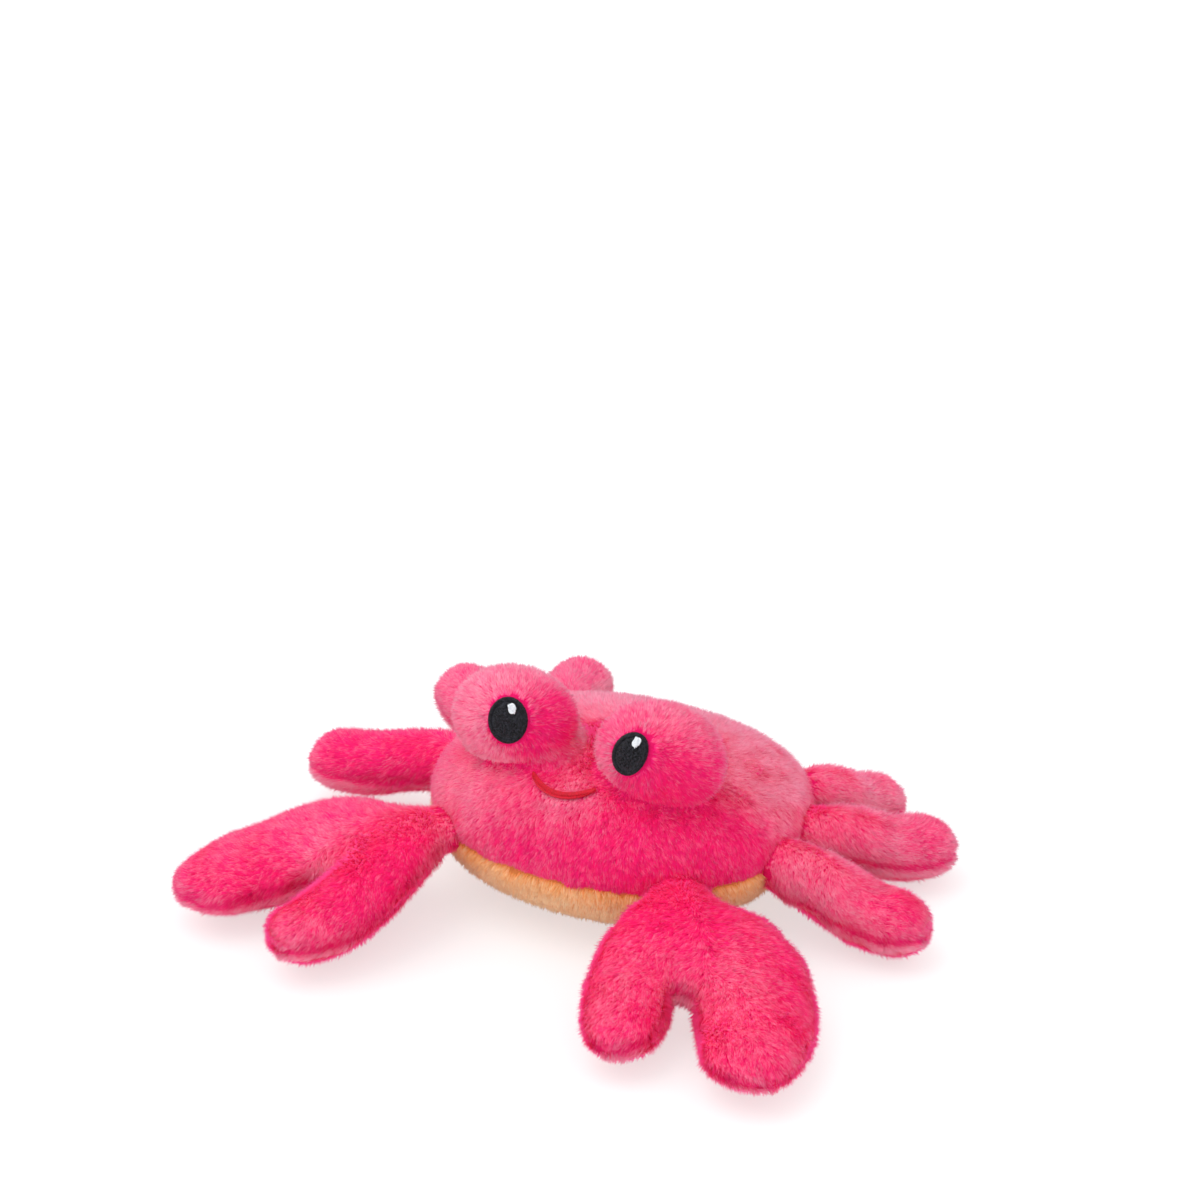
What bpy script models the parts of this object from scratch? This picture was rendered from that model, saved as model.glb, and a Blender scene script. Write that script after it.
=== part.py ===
# A small plush crab: a stuffed body in two colours, two eye mounds with embroidered eyes,
# an embroidered smile, two claws and six legs. Metres, +Z up, the crab faces -Y.
# It lies on its belly, and its origin is under the middle of its bounding box.

import math

import bmesh
import bpy
from mathutils import Matrix, Vector

# Body: the two halves meet at the seam, and the belly is flat where it rests
BODY_HALF_WIDTH = 0.064
BODY_HALF_DEPTH = 0.0565
BODY_SQUARENESS = 2.25
DOME_FULLNESS = 2.15
BELLY_FULLNESS = 2.2
SEAM_HEIGHT = 0.027
DOME_RISE = 0.0287
DOME_FORWARD_LIFT = 0.31
BELLY_DROP = 0.0295
BODY_AROUND = 56
BODY_RINGS = 28

# Clearance between sewn pieces, which touch on the real toy
SEWN_GAP = 0.0003

# Eye mounds, sewn on the front of the dome
MOUND_SPREAD = 0.0262
MOUND_FORWARD = 0.0255
MOUND_RISE = 0.0085
MOUND_HALF_WIDTH = 0.0220
MOUND_HALF_DEPTH = 0.0150
MOUND_HALF_HEIGHT = 0.0175
MOUND_BACK_DEPTH = 1.25
MOUND_AROUND = 24
MOUND_RINGS = 14

# Embroidered eyes: a black oval and a white glint on each mound
EYE_WIDTH_LEFT = 0.0114
EYE_WIDTH_RIGHT = 0.0130
EYE_HEIGHT = 0.0147
EYE_ASIDE = 0.0009
EYE_TURN_IN = 18.0
EYE_LOOK_UP = 27.0
EYE_SPLAY_LEFT = 23.0
EYE_SPLAY_RIGHT = 4.0
GLINT_WIDTH = 0.0024
GLINT_HEIGHT = 0.0034
GLINT_UP_LEFT = 0.0047
GLINT_UP_RIGHT = 0.0037
GLINT_ASIDE_LEFT = 0.0009
GLINT_ASIDE_RIGHT = 0.0024
THREAD_PAD = 0.0006
GLINT_PAD = 0.0004

# Embroidered smile on the front of the dome
SMILE_WIDTH = 0.0226
SMILE_ASIDE = -0.0008
SMILE_HEIGHT_AT_ENDS = 0.0262
SMILE_DIP = 0.0022
SMILE_LINE = 0.0012

# Claws: a narrow wrist, a broad palm and two fingers with an open notch
CLAW_ROOT_ANGLE = 50.0
CLAW_THICKNESS = 0.0250
CLAW_LENGTH = 0.084
CLAW_FALL_LENGTH = 0.055
CLAW_VOXEL = 0.0033
CLAW_SMOOTHING = 4
NOTCH_SMOOTHING = 3

# Legs: three to a side, sewn in the seam
LEG_WIDTH = 0.0260
LEG_FLATNESS = 0.92
LEG_AROUND = 18
LEG_RINGS = 14
ROOT_DEPTH = 0.008


def clear_scene():
    for old in list(bpy.data.objects):
        bpy.data.objects.remove(old, do_unlink=True)


def collection(name):
    made = bpy.data.collections.new(name)
    bpy.context.scene.collection.children.link(made)
    return made


def finish_material(name, colour, roughness):
    material = bpy.data.materials.new(name)
    material.use_nodes = True
    shader = material.node_tree.nodes["Principled BSDF"]
    shader.inputs["Base Color"].default_value = (*colour, 1.0)
    shader.inputs["Roughness"].default_value = roughness
    shader.inputs["Metallic"].default_value = 0.0
    return material


clear_scene()
CRAB = collection("plush_crab")
CUTTERS = collection("cutters")
PINK_PLUSH = finish_material("pink_plush", (0.90, 0.10, 0.24), 0.9)
ORANGE_PLUSH = finish_material("orange_plush", (0.90, 0.50, 0.24), 0.9)
BLACK_THREAD = finish_material("black_thread", (0.012, 0.012, 0.018), 0.5)
WHITE_THREAD = finish_material("white_thread", (0.85, 0.85, 0.85), 0.5)
RED_THREAD = finish_material("red_thread", (0.62, 0.01, 0.03), 0.5)


def add_object(name, bm, material, group=CRAB):
    mesh = bpy.data.meshes.new(name)
    bm.normal_update()
    bm.to_mesh(mesh)
    bm.free()
    mesh.shade_smooth()
    if material:
        mesh.materials.append(material)
    made = bpy.data.objects.new(name, mesh)
    group.objects.link(made)
    return made


def make_cutter(name, bm):
    made = add_object(name, bm, None, CUTTERS)
    made.hide_render = True
    made.display_type = "WIRE"
    return made


def add_boolean(made, cutter, operation):
    modifier = made.modifiers.new(cutter.name, "BOOLEAN")
    modifier.operation = operation
    modifier.solver = "EXACT"
    modifier.object = cutter
    return modifier


def add_remesh(made, voxel):
    """Even faces over the whole surface, which also join closed forms that overlap."""
    remesh = made.modifiers.new("even_faces", "REMESH")
    remesh.mode = "VOXEL"
    remesh.voxel_size = voxel
    remesh.use_smooth_shade = True
    return remesh


def joined(first, second):
    """One bmesh that holds two."""
    mesh = bpy.data.meshes.new("joined")
    second.to_mesh(mesh)
    second.free()
    first.from_mesh(mesh)
    bpy.data.meshes.remove(mesh)
    return first


def apply_modifiers(made):
    """Bakes the modifiers into the mesh, so that later steps can move its points."""
    graph = bpy.context.evaluated_depsgraph_get()
    mesh = bpy.data.meshes.new_from_object(made.evaluated_get(graph))
    made.modifiers.clear()
    made.data = mesh
    return made


def shaped_sphere(around, rings, place):
    """A UV sphere whose unit points are moved to where place(x, y, z) says."""
    bm = bmesh.new()
    bmesh.ops.create_uvsphere(bm, u_segments=around, v_segments=rings, radius=1.0)
    for vertex in bm.verts:
        vertex.co = place(vertex.co)
    bmesh.ops.recalc_face_normals(bm, faces=bm.faces)
    return bm


def body_point(unit, grown=0.0):
    """Where a unit direction meets the body, moved outwards by grown."""
    flat = math.hypot(unit.x, unit.y)
    if flat > 1e-9:
        across, along = abs(unit.x) / flat, abs(unit.y) / flat
        power = BODY_SQUARENESS
        squared = (across**power + along**power) ** (-1.0 / power)
    else:
        squared = 1.0
    if unit.z > 0:
        rise = (DOME_RISE + grown) * (1.0 - DOME_FORWARD_LIFT * unit.y)
        power = DOME_FULLNESS
    else:
        rise = BELLY_DROP + grown
        power = BELLY_FULLNESS
    fuller = (flat**power + abs(unit.z) ** power) ** (-1.0 / power)
    return Vector(
        (
            (BODY_HALF_WIDTH + grown) * unit.x * squared * fuller,
            (BODY_HALF_DEPTH + grown) * unit.y * squared * fuller,
            SEAM_HEIGHT + rise * unit.z * fuller,
        )
    )


def seam_point(angle):
    """A point on the body's seam, at an angle in degrees from +X."""
    turn = math.radians(angle)
    return body_point(Vector((math.cos(turn), math.sin(turn), 0.0)))


def dome_height(x, y):
    """The height of the pink dome above a point of the floor."""
    across = abs(x) / BODY_HALF_WIDTH
    along = abs(y) / BODY_HALF_DEPTH
    power = BODY_SQUARENESS
    out = min((across**power + along**power) ** (1.0 / power), 1.0)
    lean = 1.0 - DOME_FORWARD_LIFT * y / BODY_HALF_DEPTH
    power = DOME_FULLNESS
    return SEAM_HEIGHT + DOME_RISE * lean * (1.0 - out**power) ** (1.0 / power)


def half_body(name, material, keep_above):
    bm = shaped_sphere(BODY_AROUND, BODY_RINGS, body_point)
    side = 1.0 if keep_above else -1.0
    cuts = [(SEAM_HEIGHT + side * SEWN_GAP / 2, -side)]
    if not keep_above:
        cuts.append((0.0, -1.0))
    for height, away in cuts:
        bmesh.ops.bisect_plane(
            bm,
            geom=bm.verts[:] + bm.edges[:] + bm.faces[:],
            dist=1e-7,
            plane_co=(0.0, 0.0, height),
            plane_no=(0.0, 0.0, away),
            clear_outer=True,
        )
        rim = [edge for edge in bm.edges if edge.is_boundary]
        bmesh.ops.holes_fill(bm, edges=rim)
    bmesh.ops.recalc_face_normals(bm, faces=bm.faces)
    return add_object(name, bm, material)


def grown_body():
    """The whole body and the clearance round it, which cuts what is sewn to it."""
    return make_cutter(
        "grown_body",
        shaped_sphere(
            BODY_AROUND, BODY_RINGS, lambda unit: body_point(unit, SEWN_GAP * 1.5)
        ),
    )


def mound_centre(side):
    x = side * MOUND_SPREAD
    y = -MOUND_FORWARD
    return Vector((x, y, dome_height(x, y) + MOUND_RISE))


def mound_radii(grown=0.0):
    return Vector((MOUND_HALF_WIDTH, MOUND_HALF_DEPTH, MOUND_HALF_HEIGHT)) + Vector(
        (grown, grown, grown)
    )


def eye_mound(name, side, body_cutter):
    centre = mound_centre(side)
    radii = mound_radii()

    def place(unit):
        deeper = MOUND_BACK_DEPTH if unit.y > 0 else 1.0
        return centre + Vector(
            (unit.x * radii.x, unit.y * radii.y * deeper, unit.z * radii.z)
        )

    made = add_object(
        name, shaped_sphere(MOUND_AROUND, MOUND_RINGS, place), PINK_PLUSH
    )
    add_boolean(made, body_cutter, "DIFFERENCE")
    return made


def eye_frame(side):
    """The middle of the eye's direction: forward, aside and up, as unit vectors."""
    turn = math.radians(EYE_TURN_IN) * side
    look = math.radians(EYE_LOOK_UP)
    forward = Vector(
        (
            -math.sin(turn) * math.cos(look),
            -math.cos(turn) * math.cos(look),
            math.sin(look),
        )
    )
    aside = Vector((math.cos(turn), -math.sin(turn), 0.0))
    up = aside.cross(-forward)
    splay = math.radians(EYE_SPLAY_LEFT if side > 0 else -EYE_SPLAY_RIGHT)
    return (
        forward,
        aside * math.cos(splay) - up * math.sin(splay),
        up * math.cos(splay) + aside * math.sin(splay),
    )


def on_mound(side, aside_by, up_by, grown):
    """The point of the mound that lies behind a point of the eye's flat drawing."""
    forward, aside, up = eye_frame(side)
    radii = mound_radii(grown)
    start = aside * aside_by + up * up_by
    scaled_start = Vector(a / b for a, b in zip(start, radii))
    scaled_way = Vector(a / b for a, b in zip(forward, radii))
    a = scaled_way.dot(scaled_way)
    b = 2.0 * scaled_start.dot(scaled_way)
    c = scaled_start.dot(scaled_start) - 1.0
    reach = (-b + math.sqrt(b * b - 4.0 * a * c)) / (2.0 * a)
    return mound_centre(side) + start + forward * reach


def thread_oval(name, side, width, height, aside_by, up_by, under, pad, material):
    """An oval of satin stitch that follows the mound, from under its face outwards."""
    bm = bmesh.new()
    bmesh.ops.create_circle(bm, cap_ends=True, cap_tris=True, segments=24, radius=1.0)
    outer_rings = [edge for edge in bm.edges if not edge.is_boundary]
    bmesh.ops.subdivide_edges(bm, edges=outer_rings, cuts=2)
    bmesh.ops.triangulate(bm, faces=bm.faces)
    for vertex in bm.verts:
        vertex.co = on_mound(
            side,
            aside_by + vertex.co.x * width / 2,
            up_by + vertex.co.y * height / 2,
            under,
        )
    bmesh.ops.recalc_face_normals(bm, faces=bm.faces)
    middle = sum((v.co for v in bm.verts), Vector()) / len(bm.verts)
    face = min(bm.faces, key=lambda f: (f.calc_center_median() - middle).length)
    if face.normal.dot(eye_frame(side)[0]) < 0:
        bmesh.ops.reverse_faces(bm, faces=bm.faces)
    made = add_object(name, bm, material)
    thicken(made, pad)
    return made


def thicken(made, thickness):
    modifier = made.modifiers.new("thickness", "SOLIDIFY")
    modifier.thickness = thickness
    modifier.offset = 1.0
    modifier.use_even_offset = True
    return modifier


def smile():
    """A curved line of satin stitch that lies on the front of the dome."""
    steps = 28
    bm = bmesh.new()
    bmesh.ops.create_grid(bm, x_segments=steps, y_segments=2, size=1.0)
    for vertex in bm.verts:
        share = vertex.co.x
        x = share * SMILE_WIDTH / 2
        height = SMILE_HEIGHT_AT_ENDS - SMILE_DIP * (1.0 - share * share)
        slope = 2.0 * SMILE_DIP * share / (SMILE_WIDTH / 2)
        lean = math.hypot(1.0, slope)
        taper = math.sqrt(max(1.0 - abs(share) ** 6, 0.04))
        away = vertex.co.y * SMILE_LINE / 2 * taper
        vertex.co = on_dome_front(
            SMILE_ASIDE + x - away * slope / lean, height + away / lean
        )
    bmesh.ops.recalc_face_normals(bm, faces=bm.faces)
    first = next(iter(bm.faces))
    if first.normal.y > 0:
        bmesh.ops.reverse_faces(bm, faces=bm.faces)
    made = add_object("smile", bm, RED_THREAD)
    thicken(made, THREAD_PAD)
    return made


def on_dome_front(x, height):
    """The foremost point of the dome at a place across and a height above the seam."""
    near, far = 0.0, -BODY_HALF_DEPTH
    for _ in range(40):
        middle = (near + far) / 2
        if dome_height(x, middle) - SEAM_HEIGHT > height:
            near = middle
        else:
            far = middle
    out = Vector((x, near, 0.0)).normalized()
    return Vector((x, near, SEAM_HEIGHT + height)) + out * SEWN_GAP


def spine_point(points, share):
    """A point on the smooth curve through the given points, share running 0 to 1."""
    spans = len(points) - 1
    place = min(max(share, 0.0), 1.0) * spans
    index = min(int(place), spans - 1)
    t = place - index
    before = points[max(index - 1, 0)]
    start = points[index]
    end = points[index + 1]
    after = points[min(index + 2, spans)]
    return 0.5 * (
        2.0 * start
        + (end - before) * t
        + (2.0 * before - 5.0 * start + 4.0 * end - after) * t * t
        + (3.0 * start - before - 3.0 * end + after) * t * t * t
    )


def blunt_end(share, length, start_radius, end_radius):
    """How much of its full width a limb has, falling to nothing round each end."""
    from_start = 1.0 - min(share * length / start_radius, 1.0)
    from_end = 1.0 - min((1.0 - share) * length / end_radius, 1.0)
    return math.sqrt(max(1.0 - max(from_start, from_end) ** 2, 0.0))


def stuffed_limb(spine, widths, thickness, around, rings, seam_pinch=0.12):
    """A stuffed tube along a spine, flatter than wide, with round ends.

    The spine and the widths are read as smooth curves. The seam runs along both
    sides, where the section is drawn to a soft edge."""
    bm = bmesh.new()
    bmesh.ops.create_uvsphere(bm, u_segments=around, v_segments=rings, radius=1.0)
    steps = [spine_point(spine, step / 24) for step in range(25)]
    length = sum((b - a).length for a, b in zip(steps, steps[1:]))
    widest = max(width.x for width in widths)
    for vertex in bm.verts:
        polar = math.acos(min(max(vertex.co.z, -1.0), 1.0))
        share = 1.0 - polar / math.pi
        share = 0.5 - 0.5 * math.cos(math.pi * share)
        here = spine_point(spine, share)
        ahead = spine_point(spine, share + 0.01) - spine_point(spine, share - 0.01)
        ahead.normalize()
        aside = Vector((0.0, 0.0, 1.0)).cross(ahead).normalized()
        up = ahead.cross(aside)
        turn = math.atan2(vertex.co.y, vertex.co.x)
        round_end = blunt_end(share, length, widths[0].x, widths[-1].x)
        half_width = spine_point(widths, share).x * round_end
        if thickness is None:
            half_height = half_width * LEG_FLATNESS
        else:
            half_height = thickness / 2 * (half_width / widest) ** 0.7 * round_end**0.3
        pinch = 1.0 - seam_pinch * abs(math.cos(turn)) ** 3
        vertex.co = (
            here
            + aside * half_width * math.cos(turn)
            + up * half_height * math.sin(turn) * pinch
        )
    bmesh.ops.remove_doubles(bm, verts=bm.verts, dist=1e-6)
    bmesh.ops.recalc_face_normals(bm, faces=bm.faces)
    return bm


def half_widths(*values):
    return [Vector((value, 0.0, 0.0)) for value in values]


def rest_on_floor(made):
    """Presses flat whatever would reach below the floor."""
    for vertex in made.data.vertices:
        vertex.co.z = max(vertex.co.z, 0.0)


def soften(made, iterations):
    smooth = made.modifiers.new("soften", "SMOOTH")
    smooth.factor = 0.5
    smooth.iterations = iterations


def claw(name, side, heading, scale, thickness, body_cutter):
    """One claw: palm and fingers in one stuffed piece, drooping from the seam to the floor."""
    unit = CLAW_LENGTH / 84.0 * scale

    def flat(*pairs):
        return [Vector((x * unit, y * unit, 0.0)) for x, y in pairs]

    outer = stuffed_limb(
        flat((-10, 0), (14, 3), (35, 18), (60, 21), (80, 10)),
        half_widths(0.009, 0.0145, 0.0225, 0.0190, 0.0156),
        thickness,
        LEG_AROUND + 4,
        LEG_RINGS + 4,
    )
    inner = stuffed_limb(
        flat((2, 0), (24, -10), (44, -18), (65, -21)),
        half_widths(0.009, 0.0150, 0.0150, 0.0115),
        thickness * 0.94,
        LEG_AROUND + 4,
        LEG_RINGS + 4,
    )
    made = add_object(name, joined(outer, inner), PINK_PLUSH)
    add_remesh(made, CLAW_VOXEL * 0.8)
    notch = make_cutter(
        name + "_notch",
        stuffed_limb(
            flat((33, -1), (52, -1), (72, -4), (98, -9)),
            half_widths(0.0035, 0.0040, 0.0043, 0.0048),
            thickness * 3,
            LEG_AROUND,
            LEG_RINGS,
        ),
    )
    soften(made, CLAW_SMOOTHING)
    add_boolean(made, notch, "DIFFERENCE")
    add_remesh(made, CLAW_VOXEL)
    soften(made, NOTCH_SMOOTHING)
    apply_modifiers(made)
    bpy.data.objects.remove(notch, do_unlink=True)

    lowest = min(vertex.co.z for vertex in made.data.vertices)
    root = seam_point(-90.0 + side * (90.0 - CLAW_ROOT_ANGLE))
    for vertex in made.data.vertices:
        share = min(max(vertex.co.x / CLAW_FALL_LENGTH, 0.0), 1.0)
        fall = (root.z + lowest) * (3.0 - 2.0 * share) * share * share
        vertex.co.z -= fall
        vertex.co.y *= side
    if side < 0:
        made.data.flip_normals()
    turn = Matrix.Rotation(math.radians(heading), 4, "Z")
    made.data.transform(Matrix.Translation(root) @ turn)
    rest_on_floor(made)
    add_boolean(made, body_cutter, "DIFFERENCE")
    return made


def leg(name, root_angle, root_width, width, reach, height, body_cutter):
    """One leg, from the seam to the middle of its round tip, at its height over the floor."""
    root = seam_point(root_angle)
    ahead = Vector((*reach, 0.0))
    tip = Vector((root.x, root.y, height)) + ahead
    length = ahead.length
    ahead.normalize()
    fall = Vector((0.0, 0.0, root.z - tip.z))
    spine = [
        root - ahead * ROOT_DEPTH,
        root + ahead * length * 0.34 - fall * 0.42,
        root + ahead * length * 0.76 - fall * 0.90,
        tip + ahead * width * 0.44,
    ]
    widths = half_widths(
        root_width / 2, width * 0.47, width * 0.50, width * 0.47
    )
    made = add_object(
        name,
        stuffed_limb(spine, widths, None, LEG_AROUND, LEG_RINGS),
        PINK_PLUSH,
    )
    rest_on_floor(made)
    add_boolean(made, body_cutter, "DIFFERENCE")
    return made


def stand_on_origin(group, others):
    """Puts the middle of the bounding box, at the floor, on the origin."""
    graph = bpy.context.evaluated_depsgraph_get()
    corners = []
    for made in group.objects:
        evaluated = made.evaluated_get(graph)
        mesh = evaluated.to_mesh()
        corners += [evaluated.matrix_world @ v.co for v in mesh.vertices]
        evaluated.to_mesh_clear()
    low = Vector(min(c[axis] for c in corners) for axis in range(3))
    high = Vector(max(c[axis] for c in corners) for axis in range(3))
    shift = Vector((-(low.x + high.x) / 2, -(low.y + high.y) / 2, -low.z))
    for made in list(group.objects) + list(others.objects):
        made.location += shift


def build():
    half_body("back", PINK_PLUSH, keep_above=True)
    half_body("belly", ORANGE_PLUSH, keep_above=False)
    cutter = grown_body()

    for label, side in (("left", 1.0), ("right", -1.0)):
        eye_mound("eye_mound_" + label, side, cutter)
        width = EYE_WIDTH_LEFT if side > 0 else EYE_WIDTH_RIGHT
        thread_oval(
            "eye_" + label, side, width, EYE_HEIGHT, EYE_ASIDE, 0.0,
            SEWN_GAP, THREAD_PAD, BLACK_THREAD,
        )
        thread_oval(
            "eye_glint_" + label, side, GLINT_WIDTH, GLINT_HEIGHT,
            GLINT_ASIDE_LEFT if side > 0 else GLINT_ASIDE_RIGHT,
            GLINT_UP_LEFT if side > 0 else GLINT_UP_RIGHT,
            SEWN_GAP * 2 + THREAD_PAD, GLINT_PAD, WHITE_THREAD,
        )
    smile()

    claw("claw_left", 1.0, -61.0, 0.97, CLAW_THICKNESS, cutter)
    claw("claw_right", -1.0, -128.5, 1.03, CLAW_THICKNESS * 1.12, cutter)

    # name, root angle on the seam, width at the root and beyond, reach to the middle of the
    # round tip, height of that middle
    legs = (
        ("leg_left_front", -10.0, 0.022, LEG_WIDTH, (0.0376, 0.0029), 0.0120),
        ("leg_left_middle", 13.0, 0.019, LEG_WIDTH, (0.0280, 0.0272), 0.0120),
        ("leg_left_rear", 40.0, 0.016, LEG_WIDTH * 0.94, (0.0141, 0.0233), 0.0115),
        ("leg_right_front", -178.0, 0.025, LEG_WIDTH, (-0.0430, -0.0020), 0.0155),
        ("leg_right_middle", 158.5, 0.018, LEG_WIDTH * 0.94, (-0.0272, 0.0279), 0.0220),
        ("leg_right_rear", 137.0, 0.018, LEG_WIDTH * 0.94, (-0.0074, 0.0360), 0.0200),
    )
    for name, root_angle, root_width, width, reach, height in legs:
        leg(name, root_angle, root_width, width, reach, height, cutter)
    stand_on_origin(CRAB, CUTTERS)


build()
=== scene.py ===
# %% [markdown]
# # A plush crab
# A small stuffed toy: a pink body over an orange belly, two eye mounds, two claws and six
# legs, all in short dense pile. We start from the solid model of the toy. Each sewn bag
# gets a soft cover a little inside its solid, and a coat of pile grows on that cover, so
# that the tips of the pile come to where the solid's surface is.

# %% Load the solids
import math

import bmesh
import bpy
import numpy as np
from mathutils import Matrix, Vector
from mathutils.bvhtree import BVHTree


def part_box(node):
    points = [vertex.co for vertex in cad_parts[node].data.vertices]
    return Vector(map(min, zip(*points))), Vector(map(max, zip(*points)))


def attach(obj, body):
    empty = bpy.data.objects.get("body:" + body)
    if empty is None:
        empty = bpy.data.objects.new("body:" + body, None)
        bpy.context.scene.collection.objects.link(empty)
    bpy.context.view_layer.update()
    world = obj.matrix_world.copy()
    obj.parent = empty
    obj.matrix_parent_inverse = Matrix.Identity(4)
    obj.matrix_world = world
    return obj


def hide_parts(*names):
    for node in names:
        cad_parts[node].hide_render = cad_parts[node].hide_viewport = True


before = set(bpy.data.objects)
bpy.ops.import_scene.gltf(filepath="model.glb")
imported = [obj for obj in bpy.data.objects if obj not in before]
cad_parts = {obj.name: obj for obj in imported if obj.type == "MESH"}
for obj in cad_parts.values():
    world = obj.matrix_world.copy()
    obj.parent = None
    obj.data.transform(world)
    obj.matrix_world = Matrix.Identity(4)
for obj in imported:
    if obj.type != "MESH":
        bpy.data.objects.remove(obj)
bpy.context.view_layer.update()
MM = 0.001
print("solids:", len(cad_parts))

# %% [markdown]
# ## Small tools
# Shader maths is easier to read as Python. This class wraps one socket of a node tree, and
# `wrapped * 3.0 - 1.1` adds the Math nodes for it. Its `node` method adds any other node.


# %% A wrapped socket
class Wire:
    def __init__(self, tree, socket=None):
        self.tree = tree
        self.socket = socket

    def node(self, kind, sockets=None, out=0, **settings):
        made = self.tree.nodes.new(kind)
        for name, value in settings.items():
            setattr(made, name, value)
        for name, value in (sockets or {}).items():
            if isinstance(value, Wire):
                self.tree.links.new(value.socket, made.inputs[name])
            else:
                made.inputs[name].default_value = value
        return Wire(self.tree, made.outputs[out])

    def maths(self, operation, *values):
        return self.node("ShaderNodeMath", dict(enumerate(values)), operation=operation)

    def __add__(self, other):
        return self.maths("ADD", self, other)

    def __sub__(self, other):
        return self.maths("SUBTRACT", self, other)

    def __rsub__(self, other):
        return self.maths("SUBTRACT", other, self)

    def __mul__(self, other):
        return self.maths("MULTIPLY", self, other)

    def mix(self, first, second):
        """A colour between two, by this share."""
        return self.node("ShaderNodeMix", {0: self, 6: first, 7: second}, 2, data_type="RGBA")


def finish_of(name, colour, bump=None, bump_depth=0.0, **values):
    """A material: colour(wire) gives the base colour, and values set plain sockets."""
    material = bpy.data.materials.new(name)
    material.use_nodes = True
    tree = material.node_tree
    shader = tree.nodes["Principled BSDF"]
    wire = Wire(tree)
    tree.links.new(colour(wire).socket, shader.inputs["Base Color"])
    if bump:
        raised = wire.node(
            "ShaderNodeBump", {"Height": bump(wire), "Distance": bump_depth, "Strength": 1.0}
        )
        tree.links.new(raised.socket, shader.inputs["Normal"])
    for socket, value in values.items():
        shader.inputs[socket.replace("_", " ")].default_value = value
    return material


def rgb(red, green, blue):
    """A colour as a screen shows it, turned into the light values that a shader wants."""
    return tuple(
        c / 12.92 if c <= 0.04045 else ((c + 0.055) / 1.055) ** 2.4
        for c in (red / 255, green / 255, blue / 255)
    )


# %% [markdown]
# ## The finishes
# The pile is one yarn in one colour, yet it shows two tones. Where the light goes in
# between the strands it comes back deep and saturated, and where the strands lie over and
# catch the light they look paler and a little dusty. Both are painted into the colour, as
# painted shade and painted sheen. Each strand carries its own small map: across it runs the
# tone, and along it the way from root to tip, with painted shade at the roots. The colour
# reads that map.


# %% The pile
def strand_colour(roots, deep, pale):
    def colour(wire):
        place = wire.node("ShaderNodeUVMap", uv_map="OFBake")
        tone = place.node("ShaderNodeSeparateXYZ", {0: place})
        along = Wire(wire.tree, tone.socket.node.outputs[1])
        # the tips run from deep (painted shade) to pale (painted sheen); the darker roots are
        # painted shade between the strands
        tips = tone.mix((*deep, 1.0), (*pale, 1.0))
        reach = along.node(
            "ShaderNodeMapRange", {0: along, 1: 0.0, 2: 0.75}, interpolation_type="SMOOTHSTEP"
        )
        return reach.mix((*roots, 1.0), tips)

    return colour


def lit_through(material, colour):
    """A strand is thin, so its underside glows with the light that falls on its other side."""
    tree = material.node_tree
    wire = Wire(tree)
    through = wire.node("ShaderNodeBsdfTranslucent", {"Color": (*colour, 1.0)})
    geometry = wire.node("ShaderNodeNewGeometry").socket.node
    under = Wire(tree, geometry.outputs["Backfacing"])
    front = Wire(tree, tree.nodes["Principled BSDF"].outputs[0])
    both = wire.node("ShaderNodeMixShader", {0: under * 0.9, 1: front, 2: through})
    tree.links.new(both.socket, tree.nodes["Material Output"].inputs["Surface"])
    return material


PILE = dict(
    Roughness=0.62,
    Specular_IOR_Level=0.12,
    Sheen_Weight=0.35,
    Sheen_Roughness=0.3,
)
pink_strand = strand_colour((0.94, 0.007, 0.185), (1.0, 0.011, 0.195), (1.0, 0.39, 0.52))
pink_pile = finish_of("pink_pile", pink_strand, Sheen_Tint=(1.0, 0.72, 0.84, 1.0), **PILE)
lit_through(pink_pile, (1.0, 0.10, 0.36))
orange_strand = strand_colour((0.9, 0.34, 0.09), (0.95, 0.44, 0.15), (1.0, 0.76, 0.48))
orange_pile = finish_of("orange_pile", orange_strand, Sheen_Tint=(1.0, 0.85, 0.7, 1.0), **PILE)
lit_through(orange_pile, (1.0, 0.55, 0.25))


# %% [markdown]
# Under the pile is knitted backing in the same dye. It shows only in the deepest gaps and
# creases, so it is quite plain. The pink one glows faintly, in place of the light that real
# pile scatters down to its roots.


# %% The backing
def backing_colour(dark, light):
    def colour(wire):
        place = wire.node("ShaderNodeTexCoord", out=3)
        speckle = wire.node("ShaderNodeTexNoise", {"Vector": place, "Scale": 900.0, "Detail": 3.0})
        return speckle.mix((*dark, 1.0), (*light, 1.0))

    return colour


def backing_bump(wire):
    place = wire.node("ShaderNodeTexCoord", out=3)
    return wire.node("ShaderNodeTexVoronoi", {"Vector": place, "Scale": 1400.0})


BACKING = dict(Roughness=0.9, Specular_IOR_Level=0.1, bump=backing_bump, bump_depth=0.0002)
pink_backing = finish_of(
    "pink_backing",
    backing_colour(rgb(196, 10, 80), rgb(230, 20, 98)),
    Emission_Color=(1.0, 0.02, 0.2, 1.0), Emission_Strength=0.12, **BACKING,
)
orange_backing = finish_of(
    "orange_backing", backing_colour(rgb(205, 120, 60), rgb(228, 150, 85)), **BACKING
)


# %% [markdown]
# The embroidery thread is a twisted, slightly shiny polyester. The stitches themselves are
# modelled, so the material only adds the fine twist along them, as lighter flecks in the
# colour that are partly painted highlights.


# %% The threads
def thread_colour_and_glints(dark, light):
    def colour(wire):
        place = wire.node("ShaderNodeTexCoord", out=3)
        # flecks of the light colour: the twist of the thread, and painted highlights on it
        glint_fleck = wire.node("ShaderNodeTexNoise", {"Vector": place, "Scale": 1700.0, "Detail": 2.0})
        return (glint_fleck * 3.0 - 1.1).mix((*dark, 1.0), (*light, 1.0))

    return colour


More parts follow.
